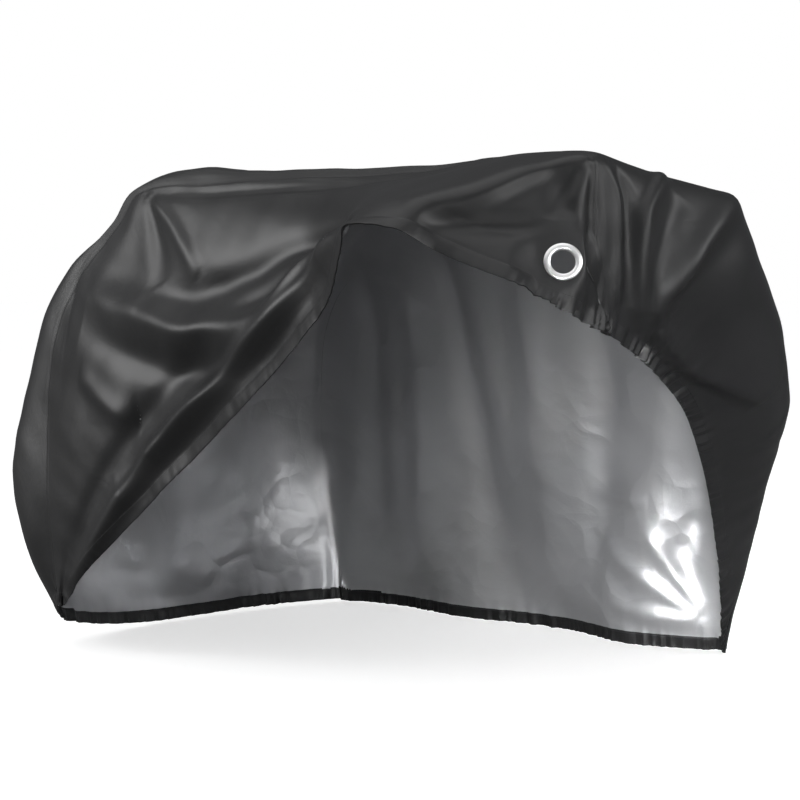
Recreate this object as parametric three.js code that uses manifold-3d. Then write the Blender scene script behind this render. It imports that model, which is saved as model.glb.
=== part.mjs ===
// Cover for two road bicycles standing side by side, with one side lifted and hooked up on the
// nearer handlebar so that the bicycles can be seen. The bicycles and their stands are left out.
// Four pieces: a near side panel, a long gusset that runs up the rear, over the top and down the
// front, a far side panel, and the metal eyelet that a lock goes through.
// Millimetres, +Z up, +X towards the front wheels, +Y towards the far side.
import * as THREE from 'three';
import { mergeVertices } from 'three/addons/utils/BufferGeometryUtils.js';
import Module from 'manifold-3d';

// Driving dimensions
const CLOTH = 1.5; // thickness of the coated cloth
const SEAM_GAP = 0.4; // clear space between two panels along a seam
const FOOT = [366, 293, 0]; // middle of the base, from where the nearer rear wheel stands
const GROUND = 2; // the hem lies this far off the ground, on its own thickness
const ROWS = 72; // steps along the length, from the rear hem to the front hem
const NEAR_COLUMNS = 12; // steps across each panel
const GUSSET_COLUMNS = 9;
const FAR_COLUMNS = 6;
const GATHER = 7; // how far the elastic hem's gathers stand in and out
const GATHERED_FROM = 82; // station where the lifted hem, stretched up to there, starts to gather
const GATHER_FADE = 0.6; // share of a gather that is lost with each step in from the hem
const FOLD_ENDS = 0.6; // how bluntly a fold rises at its two ends; lower is blunter
const ROUND_SIDES = 36; // sides of what is round
const CLOTH_COLOUR = 0x1c1c1e;
const METAL_COLOUR = 0xd9dadb;

// Lock eyelet: a barrel through the cloth between a domed flange outside and a flat one inside
const EYELET_OUTSIDE = 30; // radii
const EYELET_BACK = 28;
const EYELET_HOLE = 19;
const EYELET_WALL = 1.6;
const EYELET_DOME = 3.4; // how far the domed flange stands off the cloth
const EYELET_FLANGE = 1.2; // thickness of the flange inside
const EYELET_LIP = 0.6; // height of the dome at its outer edge
const EYELET_ROLL = 3; // how far in from that edge the dome has nearly its full height
const EYELET_CROWN = 4.4; // how far out from the hole the dome is highest
const EYELET_FIT = 0.4; // clear space between the eyelet and the cloth
const PUNCH_DEPTH = 30; // of the tool that makes the cloth's round hole
const EYELET_AT = [1062, -90, 785];
const EYELET_FACES = [0.6, -0.74, 0.3];
const FLAT_AROUND = 42; // the cloth lies flat this far out from the middle of the eyelet
const FLAT_FADE = 92; // and is back on its own shape from here

// Lines along the cover. Each point is [station, x, y, z]: the stations run from 0 at the rear
// hem, past 40 at the rear of the saddles and 83 at the nearer handlebar, to 100 at the front
// hem, and x, y and z are measured from where the nearer rear wheel stands.
const NEAR_HEM = [
  [0, -228, -6, 100], [6, -150, -16, 176], [18, 60, -56, 314], [30, 288, -108, 462],
  [40, 500, -160, 588], [52, 690, -228, 716], [58, 768, -270, 800], [62, 796, -292, 842],
  [67, 858, -258, 838], [73, 910, -208, 801], [78, 976, -182, 771], [83, 1044, -152, 744],
  [88, 1070, -104, 712], [93, 1078, -40, 688], [100, 1068, 22, 672],
];
const NEAR_MIDDLE = [
  [0, -245, -2, 98], [6, -200, -22, 200], [18, -90, -62, 405], [30, 90, -92, 620],
  [40, 290, -118, 765], [52, 545, -132, 838], [62, 735, -160, 893], [67, 838, -180, 893],
  [73, 925, -136, 908], [78, 986, -88, 906], [83, 1046, -74, 848], [88, 1072, -54, 790],
  [93, 1078, -16, 730], [100, 1066, 31, 671],
];
const NEAR_SEAM = [
  [0, -262, 4, 98], [6, -262, -16, 205], [12, -255, -28, 350], [18, -245, -34, 500],
  [24, -208, -38, 655], [30, -128, -40, 775], [36, -12, -42, 872], [41, 56, -50, 926],
  [46, 200, -56, 934], [62, 680, -34, 937], [83, 1046, 0, 952], [88, 1074, -8, 866],
  [93, 1076, 4, 770], [100, 1063, 40, 669],
];
const NEAR_SHOULDER = [
  [0, -330, 80, 46], [6, -372, 24, 182], [12, -406, 12, 350], [18, -370, 12, 505],
  [24, -300, 12, 668], [30, -210, 10, 782], [36, -66, 4, 867], [40, 12, 2, 926],
  [46, 186, 0, 967], [52, 360, 2, 954], [62, 680, 6, 949], [78, 985, 40, 944],
  [83, 1075, 130, 932], [88, 1120, 152, 846], [93, 1118, 176, 732], [100, 1033, 240, 587],
];
const TOP_MIDDLE = [
  [0, -345, 300, 8], [6, -392, 320, 140], [12, -402, 335, 330], [18, -386, 338, 490],
  [24, -328, 336, 642], [30, -230, 330, 768], [36, -112, 318, 850], [46, 180, 300, 895],
  [62, 660, 262, 898], [78, 1010, 276, 905], [83, 1118, 300, 893], [88, 1140, 328, 840],
  [93, 1156, 392, 690], [97, 1124, 432, 555], [100, 994, 400, 488],
];
const FAR_SHOULDER = [
  [0, -300, 600, 8], [6, -356, 645, 140], [12, -372, 660, 330], [18, -352, 658, 490],
  [24, -298, 650, 642], [30, -205, 640, 772], [36, -88, 628, 872], [41, 40, 612, 946],
  [46, 160, 600, 966], [54, 380, 545, 925], [66, 720, 458, 905], [83, 1000, 450, 868],
  [88, 1045, 500, 775], [93, 1075, 560, 600], [97, 1030, 620, 420], [100, 912, 612, 292],
];
const FAR_SEAM = [
  [0, -235, 792, 8], [6, -266, 804, 150], [12, -276, 800, 330], [18, -264, 784, 490],
  [24, -226, 758, 640], [30, -150, 735, 745], [38, 0, 708, 825], [46, 170, 692, 850],
  [62, 590, 652, 820], [83, 900, 636, 770], [88, 940, 680, 660], [93, 945, 742, 460],
  [97, 876, 806, 230], [100, 796, 846, 26],
];
const FAR_MIDDLE = [
  [0, -215, 806, 7], [6, -215, 826, 70], [18, -125, 832, 255], [30, 20, 802, 390],
  [46, 290, 772, 465], [62, 580, 768, 440], [83, 815, 815, 330], [93, 822, 845, 180],
  [100, 794, 858, 15],
];
const FAR_HEM = [
  [0, -200, 816, 4], [6, -170, 832, 4], [18, -30, 846, 4], [30, 130, 832, 4],
  [46, 372, 864, 4], [58, 560, 812, 4], [68, 672, 830, 4], [83, 755, 866, 4],
  [100, 786, 870, 4],
];

// Folds. Each is a path over the cloth, how far it stands out (or in, below zero), and its half
// width at the start and the end of the path.
const FOLDS = [
  // the long roll beside the lifted hem, with a trough on its hem side
  { out: 17, half: [28, 34],
    path: [[-190, -22, 150], [40, -70, 350], [225, -110, 500], [420, -160, 620], [640, -212, 775]] },
  { out: -9, half: [18, 22],
    path: [[-170, -22, 150], [80, -70, 330], [280, -115, 480], [470, -160, 600], [670, -225, 755]] },
  // swags that hang from the hooked-up hem, trough and roll by turns
  { out: -20, half: [26, 44],
    path: [[785, -280, 855], [530, -130, 812], [390, -130, 768], [220, -107, 735]] },
  { out: 22, half: [26, 50],
    path: [[760, -270, 830], [560, -175, 752], [390, -150, 706], [120, -99, 706], [-60, -60, 760]] },
  { out: -18, half: [32, 50],
    path: [[430, -155, 662], [270, -125, 636], [100, -97, 668], [-180, -38, 694]] },
  { out: 11, half: [36, 44],
    path: [[270, -125, 560], [100, -95, 560], [-40, -70, 590], [-170, -40, 640]] },
  // the edge that runs down from the saddle
  { out: 12, half: [16, 34],
    path: [[64, -55, 925], [180, -80, 850], [270, -100, 770]] },
  // cloth bunched under the far end of the nearer handlebar
  { out: -15, half: [10, 18],
    path: [[1050, -4, 946], [1074, -12, 850], [1080, -8, 740]] },
  { out: 12, half: [12, 26],
    path: [[1056, 10, 946], [1090, 36, 850], [1086, 60, 740]] },
  { out: -12, half: [14, 30],
    path: [[1066, 26, 940], [1112, 80, 840], [1092, 105, 700]] },
  { out: 18, half: [20, 38],
    path: [[1088, 160, 925], [1108, 130, 800], [1080, 125, 680]] },
  // folds that run from the outer handlebar back to the gathered hem
  { out: 13, half: [16, 34],
    path: [[1116, 300, 890], [1125, 220, 800], [1090, 160, 680]] },
  { out: 12, half: [22, 34],
    path: [[1072, 150, 670], [1095, 250, 620], [1145, 400, 600]] },
  { out: -12, half: [22, 40],
    path: [[1062, 190, 625], [1088, 320, 555], [1110, 450, 520]] },
  // the top, drawn tight from each saddle to the handlebars and slack between
  { out: 16, half: [26, 40],
    path: [[230, 30, 960], [430, 130, 920], [615, 230, 905]] },
  { out: 12, half: [30, 28],
    path: [[640, 235, 902], [860, 290, 900], [1105, 300, 893]] },
  { out: 14, half: [26, 32],
    path: [[200, 590, 965], [500, 510, 915], [985, 445, 875]] },
  { out: -16, half: [60, 50],
    path: [[220, 300, 895], [540, 390, 895], [840, 380, 895]] },
  // the rear, slack between the two wheels
  { out: -22, half: [40, 70],
    path: [[-150, 330, 825], [-330, 340, 640], [-402, 335, 330], [-370, 310, 110]] },
  { out: 14, half: [40, 56],
    path: [[-110, 490, 850], [-340, 480, 560], [-392, 470, 300], [-345, 450, 60]] },
  { out: 12, half: [40, 56],
    path: [[-130, 170, 840], [-355, 170, 560], [-410, 160, 300], [-350, 180, 60]] },
  // folds that fall down the far side
  { out: 16, half: [26, 50],
    path: [[-60, 715, 800], [-110, 785, 420], [-140, 840, 60]] },
  { out: -14, half: [30, 50],
    path: [[60, 700, 840], [50, 775, 450], [10, 840, 60]] },
  { out: 20, half: [26, 54],
    path: [[170, 692, 850], [210, 770, 470], [240, 840, 60]] },
  { out: -16, half: [36, 60],
    path: [[400, 680, 835], [390, 768, 455], [370, 850, 60]] },
  { out: 18, half: [28, 56],
    path: [[600, 655, 818], [560, 765, 460], [500, 825, 80]] },
  { out: -14, half: [28, 50],
    path: [[760, 648, 800], [690, 775, 430], [610, 820, 60]] },
  { out: 18, half: [24, 48],
    path: [[895, 636, 770], [790, 790, 400], [700, 840, 70]] },
];

// A smooth line through points at uneven stations
function lineAt(points, station) {
  const last = points.length - 1;
  let k = 0;
  while (k < last - 1 && station > points[k + 1][0]) k += 1;
  const a = points[k];
  const b = points[k + 1];
  const step = b[0] - a[0];
  const u = (station - a[0]) / step;
  return [1, 2, 3].map((axis) => {
    const slopeIn = slope(points, k, axis) * step;
    const slopeOut = slope(points, k + 1, axis) * step;
    return a[axis] * (1 + 2 * u) * (1 - u) ** 2 + b[axis] * u * u * (3 - 2 * u)
      + slopeIn * u * (1 - u) ** 2 - slopeOut * u * u * (1 - u);
  });
}

function slope(points, k, axis) {
  const before = points[Math.max(k - 1, 0)];
  const after = points[Math.min(k + 1, points.length - 1)];
  return (after[axis] - before[axis]) / (after[0] - before[0]);
}

// The lines in order across the cover, each with its place in columns
const NEAR_SEAM_COLUMN = NEAR_COLUMNS;
const FAR_SEAM_COLUMN = NEAR_COLUMNS + GUSSET_COLUMNS;
const LAST_COLUMN = FAR_SEAM_COLUMN + FAR_COLUMNS;
const LINES = [
  [0, NEAR_HEM],
  [NEAR_COLUMNS * 0.55, NEAR_MIDDLE],
  [NEAR_SEAM_COLUMN, NEAR_SEAM],
  [NEAR_SEAM_COLUMN + GUSSET_COLUMNS * 0.22, NEAR_SHOULDER],
  [NEAR_SEAM_COLUMN + GUSSET_COLUMNS * 0.5, TOP_MIDDLE],
  [NEAR_SEAM_COLUMN + GUSSET_COLUMNS * 0.78, FAR_SHOULDER],
  [FAR_SEAM_COLUMN, FAR_SEAM],
  [FAR_SEAM_COLUMN + FAR_COLUMNS * 0.5, FAR_MIDDLE],
  [LAST_COLUMN, FAR_HEM],
];

// The cloth before its folds, as rows of points
function bareCloth() {
  const rows = [];
  for (let i = 0; i <= ROWS; i += 1) {
    const station = (100 * i) / ROWS;
    const across = LINES.map(([column, line]) => [column, ...lineAt(line, station)]);
    const row = [];
    for (let j = 0; j <= LAST_COLUMN; j += 1) {
      row.push(new THREE.Vector3(...lineAt(across, j)).sub(new THREE.Vector3(...FOOT)));
    }
    rows.push(row);
  }
  return rows;
}

// Directions out of the cloth, from each point's neighbours
function outwards(rows) {
  return rows.map((row, i) => row.map((point, j) => {
    const ahead = rows[Math.min(i + 1, ROWS)][j];
    const behind = rows[Math.max(i - 1, 0)][j];
    const farther = row[Math.min(j + 1, LAST_COLUMN)];
    const nearer = row[Math.max(j - 1, 0)];
    const along = new THREE.Vector3().subVectors(ahead, behind);
    const across = new THREE.Vector3().subVectors(farther, nearer);
    return along.cross(across).normalize();
  }));
}

// How far a point is from a path, and how far along the path the nearest spot lies
function nearestOn(path, point) {
  let best = { distance: Infinity, along: 0 };
  for (let k = 0; k < path.length - 1; k += 1) {
    const segment = new THREE.Line3(path[k], path[k + 1]);
    const share = segment.closestPointToPointParameter(point, true);
    const distance = segment.at(share, new THREE.Vector3()).distanceTo(point);
    if (distance < best.distance) best = { distance, along: (k + share) / (path.length - 1) };
  }
  return best;
}

function foldHeight(fold, point) {
  const { distance, along } = nearestOn(fold.points, point);
  const half = THREE.MathUtils.lerp(fold.half[0], fold.half[1], along);
  const ends = Math.sin(Math.PI * along) ** FOLD_ENDS;
  return fold.out * ends * Math.exp(-((distance / half) ** 2));
}

// The cloth with its folds and gathers, flattened where the eyelet is pressed on
function foldedCloth() {
  const rows = bareCloth();
  const normals = outwards(rows);
  const foot = new THREE.Vector3(...FOOT);
  for (const fold of FOLDS) {
    fold.points = fold.path.map((place) => new THREE.Vector3(...place).sub(foot));
  }
  rows.forEach((row, i) => row.forEach((point, j) => {
    let height = gatherHeight(i, j);
    for (const fold of FOLDS) height += foldHeight(fold, point);
    point.addScaledVector(normals[i][j], height);
    flattenAtEyelet(point);
    point.z = Math.max(point.z, GROUND);
  }));
  return rows;
}

// The elastic draws each free edge into gathers that fade away from it
function gatherHeight(i, j) {
  const station = (100 * i) / ROWS;
  const fade = (steps) => Math.max(0, 1 - GATHER_FADE * steps);
  let share = 0;
  if (station > GATHERED_FROM) share = Math.max(share, fade(j));
  if (j === LAST_COLUMN) share = 1;
  if (j > NEAR_SEAM_COLUMN) share = Math.max(share, fade(i), fade(ROWS - i));
  return share * GATHER * ((i + j) % 2 === 0 ? 1 : -1);
}

const eyeletAt = new THREE.Vector3(...EYELET_AT).sub(new THREE.Vector3(...FOOT));
const eyeletFaces = new THREE.Vector3(...EYELET_FACES).normalize();
const eyeletTurn = new THREE.Quaternion().setFromUnitVectors(new THREE.Vector3(0, 1, 0), eyeletFaces);

function flattenAtEyelet(point) {
  const off = new THREE.Vector3().subVectors(point, eyeletAt);
  const fade = 1 - THREE.MathUtils.smoothstep(off.length(), FLAT_AROUND, FLAT_FADE);
  point.addScaledVector(eyeletFaces, -off.dot(eyeletFaces) * fade);
}

// One closed sheet from a range of columns, pulled back a little at a seam
function panel(rows, normals, first, last) {
  const width = last - first + 1;
  const outside = [];
  const inside = [];
  for (let i = 0; i <= ROWS; i += 1) {
    for (let j = first; j <= last; j += 1) {
      const point = rows[i][j].clone();
      const inner = point.clone().addScaledVector(normals[i][j], -CLOTH);
      const pull = seamPull(rows[i], j, first, last);
      outside.push(point.add(pull));
      inside.push(inner.add(pull));
    }
  }
  const positions = [...outside, ...inside].flatMap((p) => [p.x, p.y, p.z]);
  const shift = outside.length;
  const index = [];
  const quad = (a, b, c, d) => index.push(a, b, c, a, c, d);
  for (let i = 0; i < ROWS; i += 1) {
    for (let j = 0; j < width - 1; j += 1) {
      const a = i * width + j;
      quad(a, a + width, a + width + 1, a + 1);
      quad(shift + a, shift + a + 1, shift + a + width + 1, shift + a + width);
    }
    const near = i * width;
    quad(near, near + shift, near + width + shift, near + width);
    const far = near + width - 1;
    quad(far, far + width, far + width + shift, far + shift);
  }
  for (let j = 0; j < width - 1; j += 1) {
    quad(j, j + 1, j + 1 + shift, j + shift);
    const end = ROWS * width + j;
    quad(end, end + shift, end + 1 + shift, end + 1);
  }
  const geometry = new THREE.BufferGeometry();
  geometry.setAttribute('position', new THREE.Float32BufferAttribute(positions, 3));
  geometry.setIndex(index);
  return geometry;
}

function seamPull(row, j, first, last) {
  const pull = new THREE.Vector3();
  if (j === first && j > 0) pull.subVectors(row[j + 1], row[j]);
  if (j === last && j < LAST_COLUMN) pull.subVectors(row[j - 1], row[j]);
  return pull.setLength(pull.length() > 0 ? SEAM_GAP / 2 : 0);
}

// The near panel has a round hole where the eyelet's barrel goes through
function holed(geometry) {
  const radius = EYELET_HOLE + EYELET_WALL + EYELET_FIT;
  const punch = new THREE.CylinderGeometry(radius, radius, PUNCH_DEPTH, ROUND_SIDES);
  punch.applyQuaternion(eyeletTurn);
  punch.translate(eyeletAt.x, eyeletAt.y, eyeletAt.z);
  const cut = solid(geometry).subtract(solid(punch)).getMesh();
  const result = new THREE.BufferGeometry();
  result.setAttribute('position', new THREE.Float32BufferAttribute(cut.vertProperties, 3));
  result.setIndex(Array.from(cut.triVerts));
  return result;
}

function solid(geometry) {
  const bare = geometry.clone();
  bare.deleteAttribute('normal');
  bare.deleteAttribute('uv');
  const merged = mergeVertices(bare);
  return new wasm.Manifold(new wasm.Mesh({
    numProp: 3,
    vertProperties: merged.attributes.position.array,
    triVerts: new Uint32Array(merged.index.array),
  }));
}

// The eyelet turned about its own axis: radius, then height above the face of the cloth
function eyeletGeometry() {
  const barrel = EYELET_HOLE + EYELET_WALL;
  const back = -CLOTH - EYELET_FIT;
  const section = [
    [EYELET_HOLE, back - EYELET_FLANGE],
    [EYELET_BACK, back - EYELET_FLANGE],
    [EYELET_BACK, back],
    [barrel, back],
    [barrel, EYELET_FIT],
    [EYELET_OUTSIDE, EYELET_FIT],
    [EYELET_OUTSIDE, EYELET_FIT + EYELET_LIP],
    [EYELET_OUTSIDE - EYELET_ROLL, EYELET_DOME * 0.76],
    [EYELET_HOLE + EYELET_CROWN, EYELET_DOME],
    [EYELET_HOLE + EYELET_WALL, EYELET_DOME * 0.86],
    [EYELET_HOLE, EYELET_DOME * 0.5],
    [EYELET_HOLE, back - EYELET_FLANGE],
  ];
  return new THREE.LatheGeometry(section.map(([r, h]) => new THREE.Vector2(r, h)), ROUND_SIDES);
}

function named(name, geometry, colour, roughness, metalness) {
  const material = new THREE.MeshStandardMaterial({ color: colour, roughness, metalness });
  const mesh = new THREE.Mesh(geometry, material);
  mesh.name = name;
  return mesh;
}

const wasm = await Module();
wasm.setup();

const cloth = foldedCloth();
const outward = outwards(cloth);
const nearPanel = holed(panel(cloth, outward, 0, NEAR_SEAM_COLUMN));
const gusset = panel(cloth, outward, NEAR_SEAM_COLUMN, FAR_SEAM_COLUMN);
const farPanel = panel(cloth, outward, FAR_SEAM_COLUMN, LAST_COLUMN);
const eyelet = named('lock_eyelet', eyeletGeometry(), METAL_COLOUR, 0.25, 1);
eyelet.position.copy(eyeletAt);
eyelet.quaternion.copy(eyeletTurn);

const cover = new THREE.Group();
cover.name = 'bicycle_cover';
cover.add(named('near_side_panel', nearPanel, CLOTH_COLOUR, 0.5, 0));
cover.add(named('top_gusset', gusset, CLOTH_COLOUR, 0.5, 0));
cover.add(named('far_side_panel', farPanel, CLOTH_COLOUR, 0.5, 0));
cover.add(eyelet);
export default cover;
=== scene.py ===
import math

import bmesh
import bpy
import numpy as np
from mathutils import Matrix, Vector, kdtree


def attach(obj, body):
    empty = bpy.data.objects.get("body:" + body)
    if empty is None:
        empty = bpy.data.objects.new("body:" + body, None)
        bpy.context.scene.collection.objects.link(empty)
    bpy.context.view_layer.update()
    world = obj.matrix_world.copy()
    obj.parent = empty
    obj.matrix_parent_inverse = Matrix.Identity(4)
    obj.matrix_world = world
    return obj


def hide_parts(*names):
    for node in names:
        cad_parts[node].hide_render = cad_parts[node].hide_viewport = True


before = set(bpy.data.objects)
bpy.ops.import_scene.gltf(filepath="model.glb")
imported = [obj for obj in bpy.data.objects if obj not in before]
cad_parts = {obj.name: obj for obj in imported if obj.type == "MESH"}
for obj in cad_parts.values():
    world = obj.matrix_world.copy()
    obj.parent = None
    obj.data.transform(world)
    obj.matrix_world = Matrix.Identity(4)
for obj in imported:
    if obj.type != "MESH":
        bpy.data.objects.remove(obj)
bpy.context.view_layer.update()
scene = bpy.context.scene

# ---------------------------------------------------------------------------------------------
# Camera: at waist height off the front corner of the lifted side, looking a little down, so
# that the lifted hem, the silver inside under it and the lock eyelet all show.
# ---------------------------------------------------------------------------------------------
CAMERA_AT = (2.342, -2.692, 0.750)
CAMERA_TILT = math.radians(86.436)
CAMERA_TURN = math.radians(40.51)
CAMERA_LENS = 83.2

camera = bpy.data.objects.new("camera", bpy.data.cameras.new("camera"))
camera.location = CAMERA_AT
camera.rotation_euler = (CAMERA_TILT, 0, CAMERA_TURN)
camera.data.lens = CAMERA_LENS
scene.collection.objects.link(camera)
scene.camera = camera

# ---------------------------------------------------------------------------------------------
# Studio: a pale floor without an edge in sight, a white backdrop and large soft lights. A
# small lamp low on the lifted side reaches in under the hem.
# ---------------------------------------------------------------------------------------------
FLOOR_REACH = 60.0
FLOOR_PALE = (0.72, 0.72, 0.72, 1)
FLOOR_BOUNCE = (0.18, 0.18, 0.18, 1)  # how pale it is to the cloth
FLOOR_GLOW = 0.62
BACKDROP_WHITE = (1.0, 1.0, 1.0, 1)
ROOM_GREY = (0.13, 0.132, 0.136, 1)
SKY_PLACE = (-0.3, -0.6, 3.0)  # soft light from all of the ceiling
SKY_SPREAD = math.radians(75)
SKY_STRENGTH = 1.35
# name, place, what it points at, width, height, watts, spread in degrees
LIGHTS = [
    ("light_left", (-3.4, -3.3, 1.8), (-0.3, 0, 0.5), 1.5, 3.1, 140, 180),
    ("light_right", (3.9, -1.5, 1.7), (0.5, 0.3, 0.3), 1.3, 1.9, 50, 180),
    ("light_front", (4.1, 1.3, 2.3), (0.6, 0.3, 0.6), 1.6, 1.6, 55, 180),
    ("light_inside", (2.6, -3.0, 0.5), (0.5, 0.62, 0.12), 0.6, 0.5, 5.0, 24),
]


def node(tree, kind, inputs=None, **settings):
    """One shader node, with its settings, and its sockets set or joined to other nodes."""
    made = tree.nodes.new("ShaderNode" + kind)
    for name, value in settings.items():
        setattr(made, name, value)
    fill_sockets(tree, made, inputs or {})
    return made


def fill_sockets(tree, made, inputs):
    for name, value in inputs.items():
        if isinstance(value, bpy.types.NodeSocket):
            tree.links.new(value, made.inputs[name])
        else:
            made.inputs[name].default_value = value


def new_material(name):
    """An empty node material and its output node."""
    material = bpy.data.materials.new(name)
    material.use_nodes = True
    material.node_tree.nodes.clear()
    return material, material.node_tree, node(material.node_tree, "OutputMaterial")


def seen_or_lit(tree, seen, lit):
    """One shader as the camera sees it, and another for all the light that it gives."""
    path = node(tree, "LightPath")
    shaders = {0: path.outputs["Is Camera Ray"], 1: lit.outputs[0], 2: seen.outputs[0]}
    return node(tree, "MixShader", shaders).outputs[0]


def floor_material():
    """White as it is seen, with soft shadows, and less bright in the light it throws back."""
    material, tree, output = new_material("pale_floor")
    noise = node(tree, "TexNoise", {"Scale": 2.0, "Detail": 3.0})
    spread = node(tree, "MapRange", {"Value": noise.outputs["Fac"], "To Min": 0.6, "To Max": 0.75})
    look = {"Base Color": FLOOR_PALE, "Roughness": spread.outputs[0], "Specular IOR Level": 0.1}
    glow = {"Emission Color": (1, 1, 1, 1), "Emission Strength": FLOOR_GLOW}
    seen = node(tree, "BsdfPrincipled", {**look, **glow})
    bounced = node(tree, "BsdfPrincipled", {**look, "Base Color": FLOOR_BOUNCE})
    tree.links.new(seen_or_lit(tree, seen, bounced), output.inputs["Surface"])
    return material


def add_floor():
    mesh = bpy.data.meshes.new("studio_floor")
    r = FLOOR_REACH
    mesh.from_pydata([(-r, -r, 0), (r, -r, 0), (r, r, 0), (-r, r, 0)], [], [(0, 1, 2, 3)])
    mesh.materials.append(floor_material())
    floor = bpy.data.objects.new("studio_floor", mesh)
    scene.collection.objects.link(floor)


def add_light(name, place, target, width, height, watts, spread):
    data = bpy.data.lights.new(name, "AREA")
    data.shape = "RECTANGLE"
    data.size = width
    data.size_y = height
    data.energy = watts
    data.spread = math.radians(spread)
    light = bpy.data.objects.new(name, data)
    light.location = place
    aim = Vector(target) - Vector(place)
    light.rotation_euler = aim.to_track_quat("-Z", "Y").to_euler()
    scene.collection.objects.link(light)


def light_room():
    """White where the camera looks past the cover, and a dim grey room to its surfaces."""
    world = bpy.data.worlds.new("studio")
    world.use_nodes = True
    tree = world.node_tree
    tree.nodes.clear()
    seen = node(tree, "Background", {"Color": BACKDROP_WHITE})
    room = node(tree, "Background", {"Color": ROOM_GREY})
    tree.links.new(seen_or_lit(tree, seen, room), node(tree, "OutputWorld").inputs["Surface"])
    scene.world = world


def add_sky_light():
    data = bpy.data.lights.new("light_ceiling", "SUN")
    data.energy = SKY_STRENGTH
    data.angle = SKY_SPREAD
    light = bpy.data.objects.new("light_ceiling", data)
    light.rotation_euler = Vector(SKY_PLACE).to_track_quat("Z", "Y").to_euler()
    scene.collection.objects.link(light)


add_floor()
light_room()
add_sky_light()
for light in LIGHTS:
    add_light(*light)
scene.view_settings.view_transform = "Standard"

# ---------------------------------------------------------------------------------------------
# The three cloth panels: coated polyester, black outside and silver inside, sewn with two long
# lapped seams and hemmed all round over an elastic. Two saddles and two handlebars hold the
# cover up, the near hem is hooked over the nearer handlebar, and the cloth hangs from there.
# ---------------------------------------------------------------------------------------------
MM = 0.001
FOOT = np.array([366, 293, 0])  # middle of the base, from where the nearer rear wheel stands
GROUND = 0.6  # the hem lies this far off the ground
CLOTH = 0.9  # thickness of the coated cloth
SHARP_CREASE = math.radians(50)  # the cloth shows an edge where it bends by more
SEED = 11

# Lines along the cover, each point a station and its place. The stations run from 0 at the rear
# hem, past 40 at the saddles and 83 at the nearer handlebar, to 100 at the front hem.
NEAR_HEM = [
    [0, -228, -6, 100], [6, -150, -16, 176], [18, 60, -56, 314], [30, 288, -108, 462],
    [40, 500, -160, 588], [52, 690, -228, 716], [58, 768, -270, 800], [62, 796, -292, 842],
    [67, 858, -258, 838], [73, 910, -208, 801], [78, 976, -182, 771], [83, 1044, -152, 744],
    [88, 1070, -104, 712], [93, 1078, -40, 688], [100, 1068, 22, 672],
]
NEAR_MIDDLE = [
    [0, -245, -2, 98], [6, -200, -22, 200], [18, -90, -62, 405], [30, 90, -92, 620],
    [40, 290, -118, 765], [52, 545, -132, 838], [62, 735, -160, 893], [67, 838, -180, 893],
    [73, 925, -136, 908], [78, 986, -88, 906], [83, 1046, -74, 848], [88, 1072, -54, 790],
    [93, 1078, -16, 730], [100, 1066, 31, 671],
]
NEAR_SEAM = [
    [0, -262, 4, 98], [6, -262, -16, 205], [12, -255, -28, 350], [18, -245, -34, 500],
    [24, -208, -38, 655], [30, -128, -40, 775], [36, -12, -42, 872], [41, 56, -50, 926],
    [46, 200, -56, 934], [62, 680, -34, 937], [83, 1046, 0, 952], [88, 1074, -8, 866],
    [93, 1076, 4, 770], [100, 1063, 40, 669],
]
NEAR_SHOULDER = [
    [0, -330, 80, 46], [6, -372, 24, 182], [12, -406, 12, 350], [18, -370, 12, 505],
    [24, -300, 12, 668], [30, -210, 10, 782], [36, -66, 4, 867], [40, 12, 2, 926],
    [46, 186, 0, 967], [52, 360, 2, 954], [62, 680, 6, 949], [78, 985, 40, 944],
    [83, 1075, 130, 932], [88, 1120, 152, 846], [93, 1118, 176, 732], [100, 1033, 240, 587],
]
TOP_MIDDLE = [
    [0, -345, 300, 8], [6, -392, 320, 140], [12, -402, 335, 330], [18, -386, 338, 490],
    [24, -328, 336, 642], [30, -230, 330, 768], [36, -112, 318, 850], [46, 180, 300, 895],
    [62, 660, 262, 898], [78, 1010, 276, 905], [83, 1118, 300, 893], [88, 1140, 328, 840],
    [93, 1156, 392, 690], [97, 1124, 432, 555], [100, 994, 400, 488],
]
FAR_SHOULDER = [
    [0, -300, 600, 8], [6, -356, 645, 140], [12, -372, 660, 330], [18, -352, 658, 490],
    [24, -298, 650, 642], [30, -205, 640, 772], [36, -88, 628, 872], [41, 40, 612, 946],
    [46, 160, 600, 966], [54, 380, 545, 925], [66, 720, 458, 905], [83, 1000, 450, 868],
    [88, 1045, 500, 775], [93, 1075, 560, 600], [97, 1030, 620, 420], [100, 912, 612, 292],
]
FAR_SEAM = [
    [0, -235, 792, 8], [6, -266, 804, 150], [12, -276, 800, 330], [18, -264, 784, 490],
    [24, -226, 758, 640], [30, -150, 735, 745], [38, 0, 708, 825], [46, 170, 692, 850],
    [62, 590, 652, 820], [83, 900, 636, 770], [88, 940, 680, 660], [93, 945, 742, 460],
    [97, 876, 806, 230], [100, 796, 846, 26],
]
FAR_MIDDLE = [
    [0, -215, 806, 7], [6, -215, 826, 70], [18, -125, 832, 255], [30, 20, 802, 390],
    [46, 290, 772, 465], [62, 580, 768, 440], [83, 815, 815, 330], [93, 822, 845, 180],
    [100, 794, 858, 15],
]
FAR_HEM = [
    [0, -200, 816, 4], [6, -170, 832, 4], [18, -30, 846, 4], [30, 130, 832, 4],
    [46, 372, 864, 4], [58, 560, 812, 4], [68, 672, 830, 4], [83, 755, 866, 4],
    [100, 786, 870, 4],
]

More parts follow.
